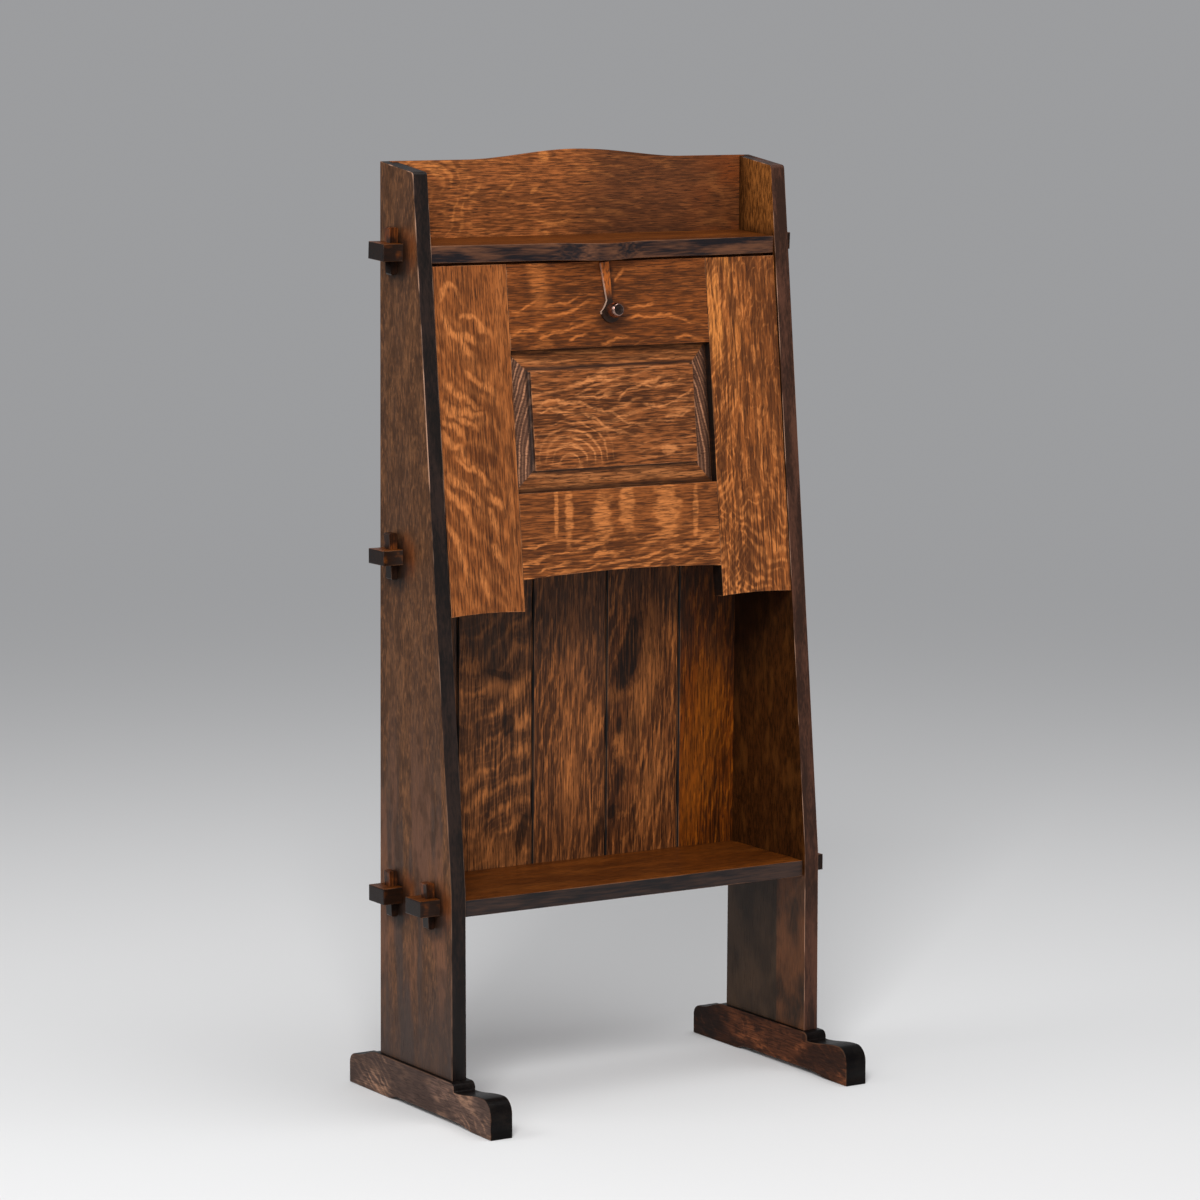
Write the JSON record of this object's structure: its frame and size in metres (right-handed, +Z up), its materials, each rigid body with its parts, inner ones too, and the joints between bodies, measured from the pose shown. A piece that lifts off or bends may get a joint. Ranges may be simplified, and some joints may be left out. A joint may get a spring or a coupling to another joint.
{
  "type": "drop-front desk",
  "caption": "Tall narrow oak drop-front desk: slab sides on shoe feet, keyed through-tenon shelves, boarded back and a leaning framed fall that opens as a writing surface.",
  "frame": {"origin": "on the floor, at the centre of the feet's footprint", "axes": "+Z up, the front with the fall faces -Y, +X to the right of someone looking at the front"},
  "size_m": [0.5904, 0.352, 1.168],
  "materials": {
    "oak_side": "waxed satin, quarter-sawn figure, darkened edges",
    "oak_foot": "waxed satin, dark, worn at the arrises",
    "oak_shelf": "waxed satin, darkened front edge",
    "oak_key": "waxed satin, dark end grain",
    "oak_back": "thin dull finish, upright grain with knots",
    "oak_crest": "waxed satin, level grain",
    "oak_fall": "waxed satin, quarter-sawn ray figure",
    "oak_panel": "waxed satin, level grain",
    "dark_iron": "dark patina, rubbed at the edges",
    "dark_bronze": "dark polished patina",
    "steel": "plain, dulled"
  },
  "bodies": {
    "carcass": {"left_side": "oak_side", "right_side": "oak_side", "left_foot": "oak_foot", "right_foot": "oak_foot", "lower_shelf": "oak_shelf", "desk_board": "oak_shelf", "upper_shelf": "oak_shelf", "door_stop": "oak_shelf", "left_lower_shelf_front_key": "oak_key", "left_lower_shelf_rear_key": "oak_key", "left_desk_board_rear_key": "oak_key", "left_upper_shelf_rear_key": "oak_key", "right_lower_shelf_front_key": "oak_key", "right_lower_shelf_rear_key": "oak_key", "right_desk_board_rear_key": "oak_key", "right_upper_shelf_rear_key": "oak_key", "back_board_1": "oak_back", "back_board_2": "oak_back", "back_board_3": "oak_back", "back_board_4": "oak_back", "back_board_5": "oak_back", "crest_board": "oak_crest", "lower_shelf_nail_1": "steel", "lower_shelf_nail_2": "steel", "lower_shelf_nail_3": "steel", "lower_shelf_nail_4": "steel", "lower_shelf_nail_5": "steel", "desk_board_nail_1": "steel", "desk_board_nail_2": "steel", "desk_board_nail_3": "steel", "desk_board_nail_4": "steel", "desk_board_nail_5": "steel", "upper_shelf_nail_1": "steel", "upper_shelf_nail_2": "steel", "upper_shelf_nail_3": "steel", "upper_shelf_nail_4": "steel", "upper_shelf_nail_5": "steel", "crest_nail_1": "steel", "crest_nail_2": "steel", "crest_nail_3": "steel"},
    "fall": {"left_stile": "oak_fall", "right_stile": "oak_fall", "top_rail": "oak_fall", "bottom_rail": "oak_fall", "raised_panel": "oak_panel", "left_pivot_pin": "steel", "right_pivot_pin": "steel"},
    "latch": {"latch_plate": "dark_iron", "latch_knob": "dark_bronze", "latch_spindle": "steel", "latch_nut": "dark_iron"}
  },
  "joints": [
    {"name": "fall_hinge", "type": "hinge", "parent": "carcass", "child": "fall", "pos_m": [0, -0.02704, 0.659], "axis": [1, 0, 0], "range_deg": [0, 96]},
    {"name": "latch_turn", "type": "hinge", "parent": "fall", "child": "latch", "pos_m": [0, -0.00421, 0.97204], "axis": [0, -0.9945, 0.1045], "range_deg": [-90, 90]}
  ]
}
